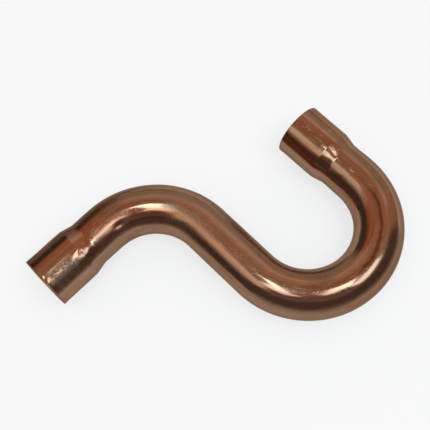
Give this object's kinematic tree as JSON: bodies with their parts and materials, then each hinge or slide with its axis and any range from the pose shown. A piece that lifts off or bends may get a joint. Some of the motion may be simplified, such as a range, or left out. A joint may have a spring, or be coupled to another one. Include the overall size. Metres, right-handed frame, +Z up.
{
  "type": "p-trap",
  "caption": "Copper P-trap bent from one tube, with a solder cup at each end, for a drain or condensate line.",
  "frame": {"origin": "on the floor, at the middle of the box round the trap as it lies flat", "axes": "+Z up, square to the plane of the bends; the outlet cup looks along -X and the inlet cup along +Y"},
  "size_m": [0.1426, 0.1172, 0.0248],
  "materials": {
    "copper": "bright drawn copper, with handling marks and a light brown tarnish"
  },
  "bodies": {
    "root": {"trap_tube": "copper"}
  },
  "joints": []
}
